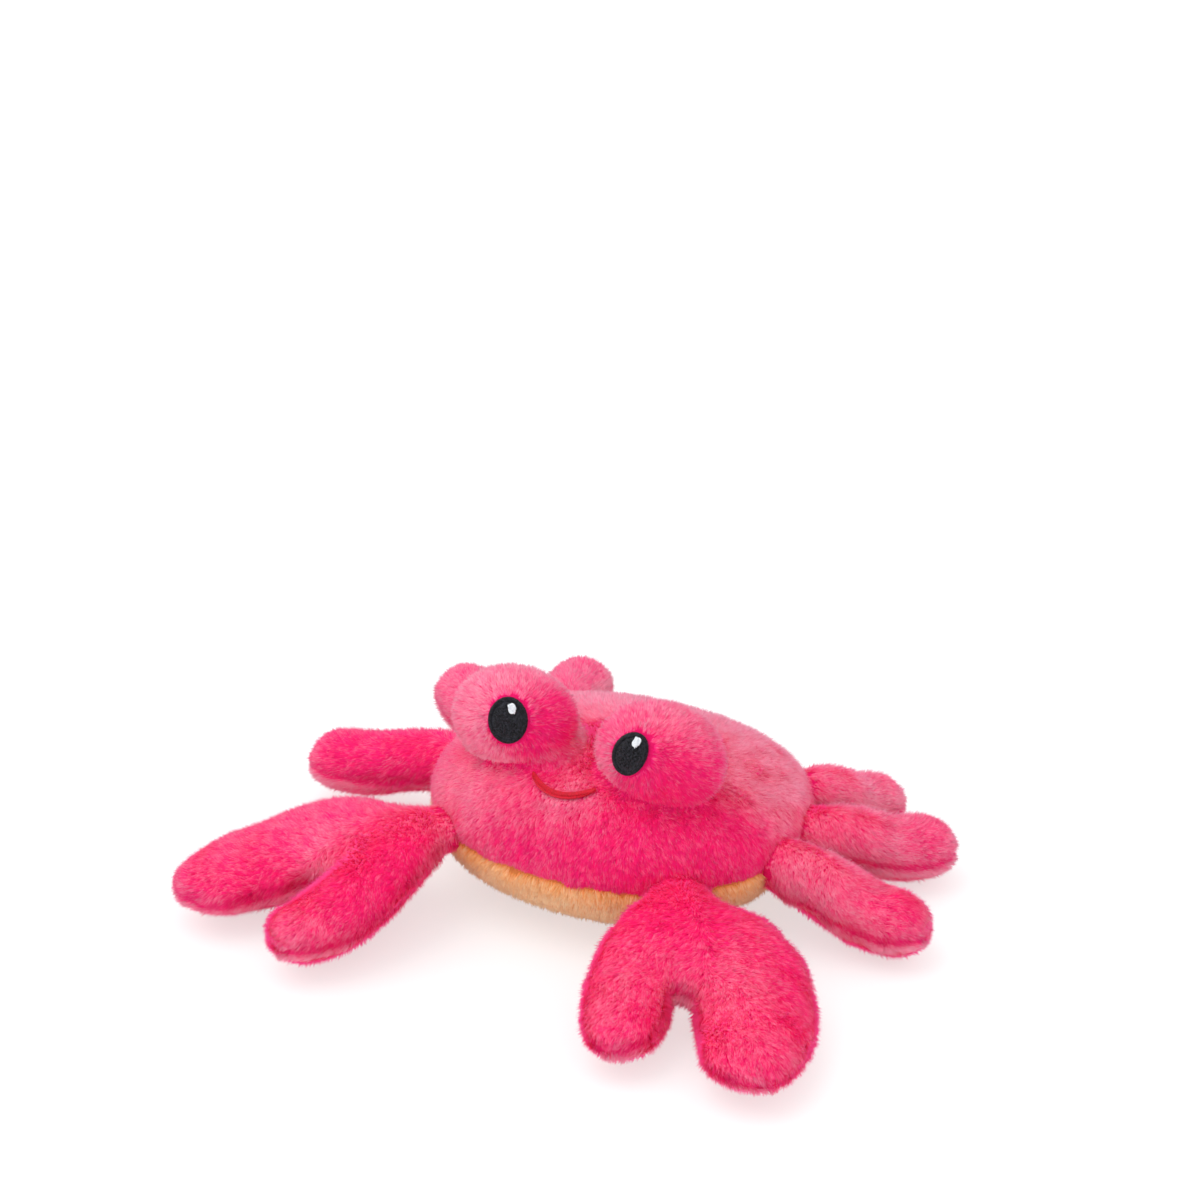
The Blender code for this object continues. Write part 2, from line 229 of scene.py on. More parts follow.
def thread_bump(wire):
    place = wire.node("ShaderNodeTexCoord", out=3)
    return wire.node(
        "ShaderNodeTexWave",
        {"Vector": place, "Scale": 1100.0, "Distortion": 3.0},
        bands_direction="DIAGONAL",
    )


THREAD = dict(Sheen_Roughness=0.4, bump=thread_bump, bump_depth=0.00008)
black_thread = finish_of(
    "black_embroidery", thread_colour_and_glints(rgb(2, 2, 4), rgb(52, 52, 62)),
    Roughness=0.48, Specular_IOR_Level=0.3, Sheen_Weight=0.0, **THREAD,
)
white_thread = finish_of(
    "white_embroidery", thread_colour_and_glints(rgb(220, 225, 232), rgb(250, 252, 255)),
    Roughness=0.5, Specular_IOR_Level=0.4, Sheen_Weight=0.1, **THREAD,
)
red_thread = finish_of(
    "red_embroidery", thread_colour_and_glints(rgb(196, 0, 34), rgb(230, 8, 52)),
    Roughness=0.5, Specular_IOR_Level=0.3, Sheen_Weight=0.1, **THREAD,
)

# %% [markdown]
# ## The covers
# Each sewn bag starts as a copy of its solid. The copy is merged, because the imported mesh
# is loose triangles, and remeshed into small even faces. Then the whole surface is drawn in
# by the height of the pile. The dome and its two eye mounds are cut from one plush panel,
# so they share one cover. Behind the mounds it runs over the joins in soft hollows, and in
# front it is tucked into a crease.

# %% Copy and remesh a solid
PILE_HEIGHT = 1.5 * MM  # how high the leaning pile stands over its cover
COVER_VOXEL = 1.6 * MM
FLOOR_GAP = 0.5 * MM  # the backing never comes nearer to the floor than this
SEAM_Z = (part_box("back")[0].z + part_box("belly")[1].z) / 2
CLAWS = ["claw_left", "claw_right"]
LEGS = sorted(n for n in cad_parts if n.startswith("leg"))
MOUNDS = ["eye_mound_left", "eye_mound_right"]


def merged(nodes):
    bm = bmesh.new()
    for node in nodes:
        bm.from_mesh(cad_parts[node].data)
    bmesh.ops.remove_doubles(bm, verts=bm.verts, dist=1e-6)
    return bm


def new_piece(name, bm, material):
    mesh = bpy.data.meshes.new(name)
    bm.to_mesh(mesh)
    bm.free()
    mesh.materials.append(material)
    mesh.shade_smooth()
    piece = bpy.data.objects.new(name, mesh)
    bpy.context.scene.collection.objects.link(piece)
    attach(piece, "root")
    return piece


def apply_all(piece):
    """Puts what the modifiers make into the mesh itself."""
    graph = bpy.context.evaluated_depsgraph_get()
    mesh = bpy.data.meshes.new_from_object(piece.evaluated_get(graph))
    piece.modifiers.clear()
    old = piece.data
    piece.data = mesh
    bpy.data.meshes.remove(old)
    mesh.name = piece.name


def remeshed(piece):
    remesh = piece.modifiers.new("even faces", "REMESH")
    remesh.mode = "VOXEL"
    remesh.voxel_size = COVER_VOXEL
    smooth = piece.modifiers.new("soften", "SMOOTH")
    smooth.factor = 0.5
    smooth.iterations = 2
    apply_all(piece)
    piece.data.shade_smooth()


# %% Read and write points as arrays
def points_of(mesh):
    flat = np.empty(len(mesh.vertices) * 3, np.float32)
    mesh.vertices.foreach_get("co", flat)
    return flat.reshape(-1, 3).astype(float)


def normals_of(mesh):
    flat = np.empty(len(mesh.vertices) * 3, np.float32)
    mesh.vertex_normals.foreach_get("vector", flat)
    return flat.reshape(-1, 3).astype(float)


def set_points(mesh, points):
    mesh.vertices.foreach_set("co", points.astype(np.float32).ravel())
    mesh.update()


def unit(v):
    return v / np.maximum(np.linalg.norm(v, axis=-1, keepdims=True), 1e-12)


def step(value, start, end):
    """0 before start, 1 after end, and smooth between."""
    t = np.clip((value - start) / (end - start), 0, 1)
    return t * t * (3 - 2 * t)


def nearest(tree, points):
    """For each point, the nearest point of a surface, the surface's normal and the distance."""
    found = [tree.find_nearest(Vector(p)) for p in points]
    return (
        np.array([f[0] for f in found]),
        np.array([f[1] for f in found]),
        np.array([f[3] for f in found]),
    )


def ripple(points, size, seed):
    """A smooth wandering value between about -1 and 1, with swings of that size."""
    rng = np.random.default_rng(seed)
    value = np.zeros(len(points))
    for _ in range(7):
        way = unit(rng.normal(size=3))
        swing = points @ way * (2 * math.pi / size) * rng.uniform(0.6, 1.4)
        value += np.sin(swing + rng.uniform(0, 6.3))
    return value / 3.0


def relaxed(mesh, points, weight, rounds, axes=(1, 1, 1)):
    """Moves each point towards the middle of its neighbours, as far as its weight says."""
    ends = np.empty(len(mesh.edges) * 2, np.int32)
    mesh.edges.foreach_get("vertices", ends)
    a, b = ends.reshape(-1, 2).T
    joined = np.bincount(a, minlength=len(points)) + np.bincount(b, minlength=len(points))
    moved = points.copy()
    for _ in range(rounds):
        total = np.zeros_like(moved)
        for axis in range(3):
            at_a = np.bincount(a, moved[b, axis], len(moved))
            at_b = np.bincount(b, moved[a, axis], len(moved))
            total[:, axis] = at_a + at_b
        moved += (total / joined[:, None] - moved) * weight[:, None] * np.array(axes)
    return moved


def box_middle(node):
    low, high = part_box(node)
    return np.array((low + high) / 2)


# %% The surfaces that covers keep to
def surface(nodes, without_seam=False):
    bm = merged(nodes)
    bm.normal_update()
    if without_seam:
        flat = [
            f for f in bm.faces
            if abs(f.normal.z) > 0.9 and abs(f.calc_center_median().z - SEAM_Z) < 1.0 * MM
        ]
        print("left out", len(flat), "faces inside the seam")
        bmesh.ops.delete(bm, geom=flat, context="FACES")
    tree = BVHTree.FromBMesh(bm)
    bm.free()
    return tree


BODY = surface(["back", "belly"], without_seam=True)
ON_BODY = surface([*CLAWS, *LEGS])
BUMPS = surface(MOUNDS)
EYES = surface(["eye_left", "eye_right"])
SMILE = surface(["smile"])


# %% [markdown]
# Cloth does what stuffing does: it pushes each panel out between its seams. The copy is
# scaled up ten times while it is simulated, because the solver likes lengths near a metre,
# and no point may move further than a small cap.


# %% Stuff a cover
TIMES_LARGER = 10
STUFFING_FRAMES = 20
STUFFING_CAP = 1.3 * MM


def stuffed(piece, held, pressure):
    """Blows a cover up with Blender's cloth. Points where held is 1 stay where they are."""
    mesh = piece.data
    before = points_of(mesh)
    set_points(mesh, before * TIMES_LARGER)
    group = piece.vertex_groups.new(name="held")
    for index in np.flatnonzero(held > 0.02):
        group.add([int(index)], float(held[index]), "REPLACE")
    cloth = piece.modifiers.new("stuffing", "CLOTH")
    cloth.settings.quality = 6
    cloth.settings.mass = 0.3
    cloth.settings.tension_stiffness = 12
    cloth.settings.compression_stiffness = 12
    cloth.settings.bending_stiffness = 0.6
    cloth.settings.use_pressure = True
    cloth.settings.uniform_pressure_force = pressure
    cloth.settings.vertex_group_mass = "held"
    cloth.settings.effector_weights.gravity = 0.0
    cloth.collision_settings.use_collision = False
    cloth.point_cache.frame_start = 1
    cloth.point_cache.frame_end = STUFFING_FRAMES
    for now in range(1, STUFFING_FRAMES + 1):
        bpy.context.scene.frame_set(now)
    apply_all(piece)
    piece.vertex_groups.clear()
    bpy.context.scene.frame_set(1)
    move = points_of(piece.data) / TIMES_LARGER - before
    far = np.linalg.norm(move, axis=1, keepdims=True)
    move *= np.minimum(1.0, STUFFING_CAP / np.maximum(far, 1e-9))
    set_points(piece.data, before + move)
    print(piece.name, "stuffed: moved at most, in mm:", round(float(far.max() / MM), 1))


# %% Draw a cover in
def drawn_in(p, n, sewn_to_body=True):
    """How far each point goes in, so that the pile's tips come out at the solid's surface."""
    at_eye = 1 - step(nearest(EYES, p)[2], 1.2 * MM, 3.0 * MM)
    at_smile = 1 - step(nearest(SMILE, p)[2], 1.0 * MM, 2.6 * MM)
    raised = 0.85 * at_eye + 0.45 * at_smile
    draw = -n * (PILE_HEIGHT * (1 - np.minimum(raised, 1)))[:, None]
    if sewn_to_body:
        body_point, body_normal, body_far = nearest(BODY, p)
        onto = body_point - body_normal * PILE_HEIGHT * 1.05 - p
        sewn = (1 - step(body_far, 0.7 * MM, 3.2 * MM))[:, None]
        draw = draw * (1 - sewn) + onto * sewn
    return draw


def at_the_seam(p, n, side):
    """The two halves of the body meet in a gathered groove, and inside it they lie flat."""
    draw = drawn_in(p, n, sewn_to_body=False)
    draw[:, 2] = np.where(n[:, 2] * side < 0, 0.0, draw[:, 2])
    from_seam = np.abs(p[:, 2] - SEAM_Z)
    gather = 1.0 + 0.55 * ripple(p, 9 * MM, 5)
    depth = 0.9 * MM * np.exp(-((from_seam / (1.7 * MM)) ** 2)) * gather
    return draw - unit(p * [1, 1, 0]) * depth[:, None]


# %% The dome with its eye mounds
def runs_over(p):
    """1 where the panel runs smoothly from a mound to the dome, 0 where a crease is sewn."""
    flowing = np.zeros(len(p))
    for node in MOUNDS:
        middle = box_middle(node)
        side = math.copysign(1.0, middle[0])
        away = unit(p - middle)
        behind = step(away[:, 1], -0.05, 0.5) * step(away[:, 2], -0.75, -0.1)
        inner = step(-side * away[:, 0], 0.25, 0.75) * step(away[:, 2], -0.75, -0.35)
        share = np.maximum(behind, inner) if side < 0 else behind
        flowing = np.maximum(flowing, share * (p[:, 0] * side > 0))
    return flowing


def dome_cover():
    bm = merged(["back"])
    for node in MOUNDS:
        bm.from_mesh(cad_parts[node].data)
    bmesh.ops.remove_doubles(bm, verts=bm.verts, dist=1e-6)
    back = surface(["back"])
    # the mounds' feet go well into the dome, so that the remesh makes one skin of the three
    for vertex in bm.verts:
        point, normal, _, far = back.find_nearest(vertex.co)
        if 1e-5 < far < 1.0 * MM:
            vertex.co = point - normal * 2.5 * MM
    piece = new_piece("dome_cover", bm, pink_backing)
    remeshed(piece)
    mesh = piece.data
    p = points_of(mesh)
    to_dome = nearest(back, p)[2]
    to_mound = nearest(BUMPS, p)[2]
    join = (1 - step(to_dome, 2.0 * MM, 6.0 * MM)) * (1 - step(to_mound, 2.0 * MM, 6.0 * MM))
    flowing = runs_over(p)
    p = relaxed(mesh, p, join * (0.06 + 0.94 * flowing) * 0.5, 30)
    set_points(mesh, p)
    p, n = points_of(mesh), normals_of(mesh)
    tucked = (1 - step(to_dome + to_mound, 1.0 * MM, 3.4 * MM)) * (1 - flowing)
    p = p + at_the_seam(p, n, 1.0) - n * (2.6 * MM * tucked)[:, None]
    set_points(mesh, p)
    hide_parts("back", *MOUNDS)
    return piece


def belly_cover():
    piece = new_piece("belly_cover", merged(["belly"]), orange_backing)
    remeshed(piece)
    p, n = points_of(piece.data), normals_of(piece.data)
    p = p + at_the_seam(p, n, -1.0)
    p[:, 2] = np.maximum(p[:, 2], FLOOR_GAP)
    set_points(piece.data, p)
    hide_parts("belly")
    return piece


covers = {"dome": dome_cover(), "belly": belly_cover()}


# %% [markdown]
# ### Claws and legs
# A claw is two flat panels sewn round the edge, so its top is one smooth pillow that runs
# over both fingers. A leg is the same, only narrower. The seam runs half-way up the side,
# and shows as a crease, dented in and darkened with painted shade, with a frill of pile
# under it that is painted paler, as painted sheen.

# %% Where a limb's seam runs
SEAM_PARTS = 14
SEAM_SHARE = 0.5


def seam_height(node, p):
    """The height of the limb's side seam at each point, by how far out the point is."""
    root = nearest(BODY, [box_middle(node)])[0][0]
    out = np.linalg.norm((p - root)[:, :2], axis=1)
    bins = np.linspace(out.min(), out.max() + 1e-9, SEAM_PARTS + 1)
    which = np.digitize(out, bins) - 1
    held = [i for i in range(SEAM_PARTS) if (which == i).any()]
    low = np.array([p[which == i, 2].min() for i in held])
    high = np.array([p[which == i, 2].max() for i in held])
    middle = ((bins[1:] + bins[:-1]) / 2)[held]
    return np.interp(out, middle, low + SEAM_SHARE * (high - low))


# %% Limb covers
def limb_cover(node, pillow):
    piece = new_piece(node + "_cover", merged([node]), pink_backing)
    remeshed(piece)
    mesh = piece.data
    p, n = points_of(mesh), normals_of(mesh)
    body_far = nearest(BODY, p)[2]
    free = step(body_far, 1.0 * MM, 6.0 * MM)
    if pillow:
        flat_side = step(np.abs(n[:, 2]), 0.25, 0.6) * free
        before = p[:, 2].copy()
        p = relaxed(mesh, p, 0.6 * flat_side, 70, axes=(0, 0, 1))
        sunk = np.where(n[:, 2] > 0.3, before - p[:, 2], 0).max()
        p[:, 2] += np.clip(sunk, 0, 3 * MM) * 0.55 * flat_side * (n[:, 2] > 0)
        set_points(mesh, p)
    off_seam = np.abs(p[:, 2] - seam_height(node, p))
    held = np.maximum(1 - step(off_seam, 0.8 * MM, 2.2 * MM), 1 - free)
    stuffed(piece, held, pressure=4.0 if pillow else 14.0)
    mesh = piece.data
    p, n = points_of(mesh), normals_of(mesh)
    draw = drawn_in(p, n)
    crease = np.exp(-((off_seam / (1.25 * MM)) ** 2)) * (1 + 0.35 * ripple(p, 7 * MM, 8))
    side_on = step(1 - np.abs(n[:, 2]), 0.15, 0.5) * free
    draw -= n * (1.25 * MM * crease * side_on)[:, None]
    p = p + draw
    p[:, 2] = np.maximum(p[:, 2], FLOOR_GAP)
    set_points(mesh, p)
    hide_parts(node)
    return piece


for node in CLAWS + LEGS:
    covers[node] = limb_cover(node, node in CLAWS)
print("covers:", len(covers), "faces:", sum(len(c.data.polygons) for c in covers.values()))

# %% [markdown]
# ## The pile
# One strand is modelled as a thin pointed leaf of a single face, because so many are
# needed. A coat is many copies of it. Each copy is planted at a random spot of a cover,
# leans the way that the nap is brushed there, and is drawn towards the middle of its tuft,
# because real pile clings together in small tufts.


# %% One strand
def strand_shape():
    bm = bmesh.new()
    bmesh.ops.create_circle(bm, cap_ends=True, segments=3, radius=1.0)
    face = bm.faces[:][0]
    for vertex, place in zip(face.verts, ((-1.0, 0.0), (1.0, 0.0), (0.0, 1.0))):
        vertex.co.xy = place
    corners = np.array([v.co for v in face.verts])[:, :2]
    bm.free()
    return corners


STRAND = strand_shape()
print("strand corners:", STRAND.tolist())


# %% Scatter roots over a cover
def scatter(piece, per_mm2, room, seed):
    """Random places on a piece, as a function that carries values from its points to them."""
    mesh = piece.data
    mesh.calc_loop_triangles()
    flat = np.empty(len(mesh.loop_triangles) * 3, np.int32)
    mesh.loop_triangles.foreach_get("vertices", flat)
    corners = flat.reshape(-1, 3)
    p, n = points_of(mesh), normals_of(mesh)
    a, b, c = (p[corners[:, i]] for i in range(3))
    area = np.linalg.norm(np.cross(b - a, c - a), axis=1) / 2
    underside = step(-n[corners].mean(1)[:, 2], 0.45, 0.85)
    area = area * (room[corners].min(1) > 0.02) * (1 - 0.6 * underside)
    total = np.cumsum(area)
    count = int(total[-1] / MM**2 * per_mm2)
    rng = np.random.default_rng(seed)
    pick = np.searchsorted(total, (np.arange(count) + rng.random(count)) / count * total[-1])
    pick = np.minimum(pick, len(area) - 1)
    u, v = rng.random(count), rng.random(count)
    over = u + v > 1
    u[over], v[over] = 1 - u[over], 1 - v[over]
    shares = np.stack([1 - u - v, u, v], 1)
    chosen = corners[pick]

    def carry(values):
        return np.einsum("ij...,ij->i...", np.asarray(values, float)[chosen], shares)

    return carry, p, n, rng


TUFT_KEYS = np.array([
    [127.1, 311.7, 74.7], [269.5, 183.3, 246.1], [113.5, 271.9, 124.6], [419.2, 71.9, 333.3],
])


def tuft_of(points, size, seed):
    """The middle of the tuft that each point belongs to, and a random number for the tuft."""
    cell = np.floor(points / size)
    best = np.full(len(points), 1e9)
    middle = np.zeros_like(points)
    lot = np.zeros(len(points))
    for neighbour in np.ndindex(3, 3, 3):
        here = cell + (np.array(neighbour) - 1)
        chance = np.mod(np.sin(here @ TUFT_KEYS.T + seed) * 43758.5453, 1.0)
        centre = (here + chance[:, :3]) * size
        far = ((centre - points) ** 2).sum(1)
        closer = far < best
        best[closer] = far[closer]
        middle[closer] = centre[closer]
        lot[closer] = chance[closer, 3]
    return middle, lot


# %% Plant a coat
STRAND_LENGTH = 2.8 * MM
STRAND_WIDTH = 0.42 * MM
TUFT = 1.15 * MM
TUFT_PULL = 0.48
PROUD_SHARE = 0.1  # of the strands stand up by PROUD more degrees than the others
PROUD = 30
LEAST_TILT = 20
MOST_TILT = 77
TIP_GAP = 0.15 * MM  # the tips never come nearer to the floor than this


def coat(names, cover, per_mm2, nap, tone, room, seed, lean=65, rise=0):
    """Pile on a cover. names gives each piece's name and the test for the roots it takes.

    lean is in degrees from the surface's normal, and on the sides it is less by rise.
    """
    carry, p, n, rng = scatter(cover, per_mm2, room, seed)
    place, normal, free = carry(p), unit(carry(n)), carry(room)
    count = len(place)
    middle, lot = tuft_of(place, TUFT, seed)
    way = carry(nap(p, n))
    way = unit(way - normal * (way * normal).sum(1, keepdims=True))
    turn = 0.30 * ripple(place, 14 * MM, seed + 1) + (lot - 0.5) * 0.5
    turn = turn + rng.normal(0, 0.14, count)
    way = way * np.cos(turn)[:, None] + np.cross(normal, way) * np.sin(turn)[:, None]
    aside = np.cross(way, normal)
    tilt = lean - rise * step(1 - np.abs(normal[:, 2]), 0.3, 0.9)
    tilt = tilt + 5 * ripple(place, 9 * MM, seed + 2) + (lot - 0.5) * 12
    tilt = tilt + rng.normal(0, 6, count)
    tilt = np.where(rng.random(count) < PROUD_SHARE, tilt - PROUD, tilt)
    tilt = np.radians(np.clip(tilt, LEAST_TILT, MOST_TILT))
    tall = STRAND_LENGTH * free * (0.9 + 0.2 * rng.random(count)) * (0.92 + 0.16 * lot)
    upper = normal * np.cos(tilt)[:, None] + way * np.sin(tilt)[:, None]
    pull = middle - place
    pull -= normal * (pull * normal).sum(1, keepdims=True)
    pull = np.clip(pull, -TUFT, TUFT) * TUFT_PULL
    root = place - normal * 0.1 * MM
    tip = place + upper * tall[:, None] + pull
    half = aside * (STRAND_WIDTH / 2 * (0.8 + 0.4 * rng.random(count)))[:, None]
    corners = np.stack([(tip if y > 0.5 else root) + half * x for x, y in STRAND], 1)
    corners[..., 2] = np.maximum(corners[..., 2], TIP_GAP)
    shade = carry(tone(p, n)) + 0.05 * ripple(place, 6 * MM, seed + 3)
    vary = (lot - 0.5) * 0.42 + rng.normal(0, 0.14, count)
    shade = np.clip(np.maximum(shade, 0.02) + vary, 0.0, 0.97)
    soft = unit(normal + way * 0.12 - pull * 0.5 / MM + rng.normal(0, 0.16, (count, 3)))
    left = np.ones(count, bool)
    for name, (takes, material, slot) in names.items():
        mine = left & (carry(takes(p)) > 0.5)
        left &= ~mine
        coats[name] = lay_mesh(name, corners[mine], soft[mine], shade[mine], material, slot)


def lay_mesh(name, corners, soft, shade, material, slot):
    """A piece of strands: their corners, soft normals, and tones in the colour map."""
    count = len(corners)
    order = np.arange(count * 3)
    mesh = bpy.data.meshes.new(name)
    mesh.vertices.add(count * 3)
    mesh.vertices.foreach_set("co", corners.astype(np.float32).ravel())
    mesh.loops.add(len(order))
    mesh.loops.foreach_set("vertex_index", order.astype(np.int32))
    mesh.polygons.add(count)
    mesh.polygons.foreach_set("loop_start", np.arange(0, len(order), 3, dtype=np.int32))
    mesh.update(calc_edges=True)
    layer = mesh.uv_layers.new(name="OFBake")
    across = np.clip(shade[:, None] + STRAND[None, :, 0] * 0.02, 0.002, 0.998)
    along = np.broadcast_to(STRAND[None, :, 1] * 0.99 + 0.005, across.shape)
    uv = np.stack([across, along], -1).reshape(-1, 2)
    layer.data.foreach_set("uv", uv.astype(np.float32).ravel())
    mesh.shade_smooth()
    mesh.normals_split_custom_set_from_vertices(np.repeat(soft, 3, 0).astype(np.float32))
    mesh.materials.append(material)
    piece = bpy.data.objects.new(name, mesh)
    bpy.context.scene.collection.objects.link(piece)
    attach(piece, "root")
    return piece


# %% [markdown]
# ### Which way the nap lies, and how much room it has
# On the dome the pile is brushed outwards and down. Round each eye it is parted by the
# stitches, and on the limbs it runs from the seam to the tip and out to the edges.

# %% Nap fields
CROWN = box_middle("back") + [0, 0.012, 0]
PUPILS = {m: box_middle(m.replace("eye_mound", "eye")) for m in MOUNDS}


def dome_nap(p, n):
    hem = 1 - step(p[:, 2] - SEAM_Z, 1.0 * MM, 5.0 * MM)
    way = unit((p - CROWN) * [1, 1, 0]) + np.array([0, 0, -1.0]) * (0.5 + 0.8 * hem)[:, None]
    near = 1 - step(nearest(BUMPS, p)[2], 0.5 * MM, 5.0 * MM)
    for node in MOUNDS:
        mine = near * (p[:, 0] * PUPILS[node][0] > 0)
        way = way * (1 - mine[:, None]) + unit(p - PUPILS[node]) * mine[:, None]
    return way


def belly_nap(p, n):
    return unit((p - CROWN) * [1, 1, 0]) * 0.15 + [0, 0, -1.0]


def limb_nap(node):
    middle = box_middle(node)
    root = nearest(BODY, [middle])[0][0]
    axis = unit((middle - root) * [1, 1, 0])
    return lambda p, n: axis + 0.85 * unit((p - middle) * [1, 1, 0.3]) + [0, 0, -0.25]


# %% Room for pile on each cover
def creased(p):
    """1 in the sewn crease at the foot of a mound, and 0 away from it."""
    near = nearest(BODY, p)[2] + nearest(BUMPS, p)[2]
    return (1 - step(near, 2.5 * MM, 6.0 * MM)) * (1 - runs_over(p))


def room_for(name):
    """How much of its full length the pile has at each point of a cover."""
    p, n = points_of(covers[name].data), normals_of(covers[name].data)
    point, _, far = nearest(EYES, p)
    below = ((point - p) * n).sum(1)
    beside = np.sqrt(np.maximum(far**2 - below**2, 0.0))
    room = np.where(far < 4 * MM, 0.35 + 0.65 * step(beside, 0.6 * MM, 2.0 * MM), 1.0)
    room = np.where((far < 4 * MM) & (beside < 0.25 * MM), 0.0, room)
    room = np.minimum(room, 0.4 + 0.6 * step(nearest(SMILE, p)[2], 0.6 * MM, 1.8 * MM))
    if name in ("dome", "belly"):
        room = np.minimum(room, step(nearest(ON_BODY, p)[2], 0.8 * MM, 2.2 * MM))
        side = 1.0 if name == "dome" else -1.0
        cap = (n[:, 2] * side < -0.75) & (np.abs(p[:, 2] - SEAM_Z) < 1.2 * MM)
        if name == "dome":
            hem = 1 - step(p[:, 2] - SEAM_Z, 0.5 * MM, 3.0 * MM)
            uneven = 0.5 + 0.75 * step(ripple(p, 11 * MM, 17), -0.3, 0.9)
            room = room * (1 - hem + hem * uneven) * (1 - 0.85 * creased(p))
        room = np.where(cap, 0.0, room)
    else:
        point, way, far = nearest(BODY, p)
        outside = np.where(((p - point) * way).sum(1) < -0.7 * far, -far, far)
        room = np.minimum(room, 0.55 + 0.45 * step(outside, 0, 3.0 * MM))
        room = room * (1 + 0.3 * step(1 - np.abs(n[:, 2]), 0.3, 0.9))
        room = np.where(outside < -1.3 * MM, 0.0, room)
    return room


# %% [markdown]
# ### Where the pile is painted deep or pale
# The pile is painted deep in some spots, as painted shade where one looks in between the
# strands, and pale in others, as painted sheen where the strands lie over. A spot is a place
# in mm, a size in mm and how much paler it is. Tops of the dome and of the mounds are
# painted pale all over, as painted sheen.


# %% Tones
# each spot: a place in mm, a size in mm and a change; below 0 it is painted shade, above 0 painted
# sheen
PAINTED_LIGHT_SPOTS = [
    ((-6, -17, 72), 9, -0.75), ((-12, -25, 61), 7, -0.45), ((-3, -14, 62), 8, -0.35),
    ((-4, -22, 54), 6, -0.3), ((-33, -25, 70), 13, 0.15),
    ((34, -26, 57), 12, -0.7), ((44, -22, 68), 15, -0.12), ((17, -25, 63), 6, 0.35),
    ((41, -32, 38), 20, -0.5), ((16, -41, 38), 10, -0.2), ((-5, -41, 38), 9, -0.15),
    ((18, -31, 50), 13, 0.08), ((58, -10, 40), 13, -0.35),
    ((-30, -31, 42), 17, 0.34), ((-47, -24, 37), 12, 0.3), ((4, -26, 54), 9, 0.32),
    ((2, -34, 50), 8, 0.15), ((-1, -10, 59), 8, 0.25), ((35, -17, 79), 13, 0.2),
    ((45, 22, 48), 20, 0.35), ((74, 60, 20), 14, 0.35), ((85, 40, 22), 12, 0.12),
    ((-78, 0, 28), 18, -0.9), ((-99, -2, 22), 12, -0.3), ((-38, -67, 29), 15, -0.4),
    ((-76, -73, 15), 9, -0.4), ((-92, -88, 10), 12, -0.25), ((-86, -67, 25), 10, -0.05),
    ((-66, -65, 22), 5, 0.4), ((-66, -59, 27), 9, 0.2), ((-56, -97, 21), 10, 0.15),
    ((-45, -81, 26), 13, -0.15), ((-37, -51, 34), 10, -0.2), ((56, -45, 33), 15, -0.3),
    ((91, -47, 26), 13, -0.25), ((101, -62, 20), 12, -0.2), ((62, -84, 20), 9, -0.2),
    ((83, -66, 24), 15, 0.2), ((49, -84, 24), 9, 0.2),
    ((109, 1, 22), 11, -0.25), ((75, 2, 33), 12, 0.25), ((99, 43, 18), 9, -0.2),
    ((82, 28, 27), 8, -0.1),
]


def toned(level, sheen_on_top):
    """The tone by place: its level, the painted sheen it gains on tops, and the painted shade and
    sheen of the spots.
    """

    def tone(p, n):
        shade = level + sheen_on_top * step(n[:, 2], 0.35, 0.95)
        for spot, size, change in PAINTED_LIGHT_SPOTS:
            far = np.linalg.norm(p - np.array(spot) * MM, axis=1)
            shade = shade + change * np.exp(-((far / (size * MM)) ** 2))
        return shade

    return tone


def dome_tone(p, n):
    # painted sheen on the mounds (more on the left one), in a band near each mound's foot and on
    # the upper back; painted shade in the creases
    on_mound = 1 - step(nearest(BUMPS, p)[2], 1.5 * MM, 4.5 * MM)
    mound_sheen = np.where(p[:, 0] < 0, 0.30, 0.08)
    behind = step(p[:, 1], -0.012, 0.012)
    rim_sheen = on_mound * np.exp(-(((nearest(BODY, p)[2] - 4.0 * MM) / (1.5 * MM)) ** 2))
    shade = toned(0.2, 0.12)(p, n) + mound_sheen * on_mound - 0.5 * creased(p) + 0.25 * rim_sheen
    return shade + 0.45 * behind * step(n[:, 2], 0.2, 0.8)


def limb_tone(node, level):
    """Painted shade along the seam, and painted sheen on the sides under it and, but for the front
    sides, over it.
    """

    def tone(p, n):
        over = (p[:, 2] - seam_height(node, p)) / MM
        side_on = step(1 - np.abs(n[:, 2]), 0.2, 0.6)
        facing = step(-n[:, 1], -0.2, 0.4)
        # painted sheen on the sides, less on the front sides, then painted shade along the seam
        sheen_and_seam_shade = (0.34 - 0.24 * facing) * step(over, -1.0, 1.5) + 0.62 * step(-over, 0.6, 1.8)
        sheen_and_seam_shade = sheen_and_seam_shade - 0.6 * np.exp(-(((over - 0.2) / 1.1) ** 2))
        return toned(level, 0.0)(p, n) + sheen_and_seam_shade * side_on

    return tone


def belly_tone(p, n):
    return 0.35 + 0.4 * step(SEAM_Z - p[:, 2], 1.0 * MM, 8.0 * MM)


# %% Grow the coats
DENSITY = 14.0  # strands to a square millimetre
CLAW_TONE = 0.26
LEG_TONE = 0.42
PINK = (pink_pile, "pink_plush")
coats = {}


def everywhere(p):
    return np.ones(len(p), bool)


